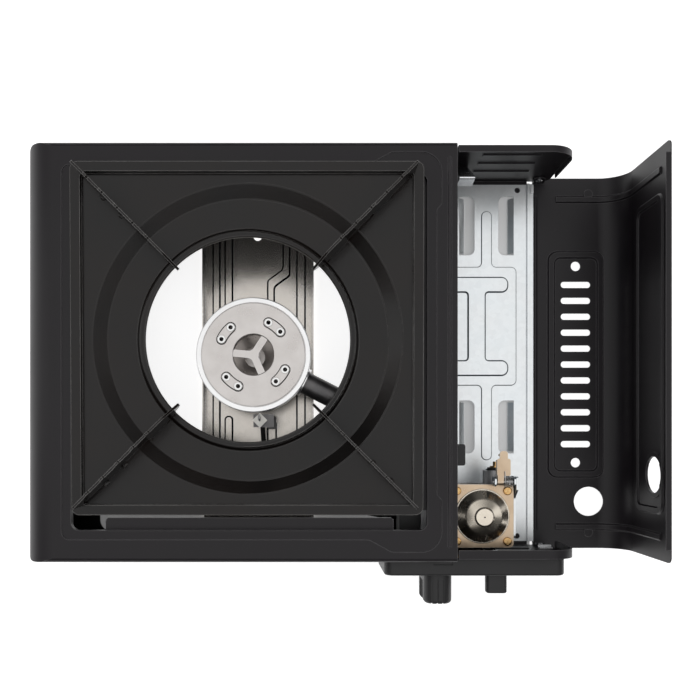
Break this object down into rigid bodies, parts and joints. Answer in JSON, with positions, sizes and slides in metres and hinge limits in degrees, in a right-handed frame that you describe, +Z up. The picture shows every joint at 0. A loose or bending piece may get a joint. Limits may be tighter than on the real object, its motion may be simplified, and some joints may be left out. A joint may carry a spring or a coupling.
{
  "type": "butane cassette stove",
  "caption": "Tabletop gas stove with a square drip pan and pot supports, a round burner and a side bay for a gas cartridge under a hinged lid.",
  "frame": {"origin": "middle of the whole footprint on the table, lid open", "axes": "+Z up, +Y to the rear away from the knob, +X towards the cartridge bay and its lid"},
  "size_m": [0.4114, 0.2992, 0.0998],
  "materials": {
    "powder_black": "satin powder coat",
    "enamel_black": "glossy enamel",
    "galvanised": "galvanised sheet",
    "bright_zinc": "bright zinc plate",
    "nickel": "pale satin nickel plate",
    "polished_nickel": "polished nickel plate",
    "cast_zinc": "cast zinc alloy",
    "cast_aluminium": "cast and machined aluminium",
    "dark_steel": "dark steel tube",
    "spring_steel": "drawn steel wire",
    "brass": "yellow passivated brass",
    "black_plastic": "fine textured moulding",
    "black_rubber": "matt rubber",
    "white_ceramic": "glazed ceramic"
  },
  "bodies": {
    "chassis": {"top_cover": "powder_black", "base_frame": "powder_black", "rear_end_wall": "powder_black", "front_end_wall": "powder_black", "bay_floor": "galvanised", "heat_shield": "galvanised", "burner_bracket": "galvanised", "burner_stand": "galvanised", "igniter_clip": "galvanised", "regulator_stand": "galvanised", "cartridge_clip": "bright_zinc", "lid_hinge_pins": "bright_zinc", "burner_screws": "bright_zinc", "cover_screws": "bright_zinc", "regulator_plate": "nickel", "regulator_dome": "polished_nickel", "regulator_body": "cast_zinc", "burner_base": "cast_aluminium", "burner_cap": "cast_aluminium", "burner_spider": "cast_aluminium", "mixer_tube": "dark_steel", "burner_throat": "dark_steel", "diaphragm_spring": "spring_steel", "igniter_electrode": "spring_steel", "gas_pipe": "spring_steel", "jet": "brass", "inlet_nozzle": "brass", "plate_screws": "brass", "control_panel": "black_plastic", "cartridge_guide": "black_plastic", "piezo_igniter": "black_plastic", "feet": "black_rubber", "inlet_seal": "black_rubber", "diaphragm": "black_rubber", "igniter_wire": "black_rubber", "igniter_ceramic": "white_ceramic"},
    "lid": {"lid": "powder_black"},
    "pan": {"drip_pan": "enamel_black", "pan_support_1": "enamel_black", "pan_support_2": "enamel_black", "pan_support_3": "enamel_black", "pan_support_4": "enamel_black"},
    "knob": {"knob": "black_plastic", "valve_spindle": "spring_steel"},
    "lever": {"lock_lever": "black_plastic", "lever_plate": "galvanised"},
    "carriage": {"hook_carriage": "galvanised", "hook_pin": "spring_steel"},
    "hook": {"cartridge_hook": "nickel", "hook_spring": "spring_steel"}
  },
  "joints": [
    {"name": "lid_hinge", "type": "hinge", "parent": "chassis", "child": "lid", "pos_m": [0.14195, 0.01455, 0.0103], "axis": [0, 1, 0], "range_deg": [-90, 0]},
    {"name": "pan_lift", "type": "slide", "parent": "chassis", "child": "pan", "axis": [0, 0, 1], "range_m": [0, 0.12]},
    {"name": "knob_turn", "type": "hinge", "parent": "chassis", "child": "knob", "pos_m": [0.06395, -0.13545, 0.035], "axis": [0, 1, 0], "range_deg": [-150, 0]},
    {"name": "lever_slide", "type": "slide", "parent": "chassis", "child": "lever", "axis": [0, 0, -1], "range_m": [0, 0.024]},
    {"name": "carriage_slide", "type": "slide", "parent": "chassis", "child": "carriage", "axis": [0, -1, 0], "range_m": [0, 0.004]},
    {"name": "hook_lift", "type": "hinge", "parent": "carriage", "child": "hook", "pos_m": [0.10575, -0.06855, 0.0546], "axis": [1, 0, 0], "range_deg": [0, 25], "stiffness_Nm_per_rad": 0.02, "springref_deg": -20.05}
  ],
  "couplings": [
    {"joint": "carriage_slide", "follows": "lever_slide", "ratio": 0.166}
  ]
}
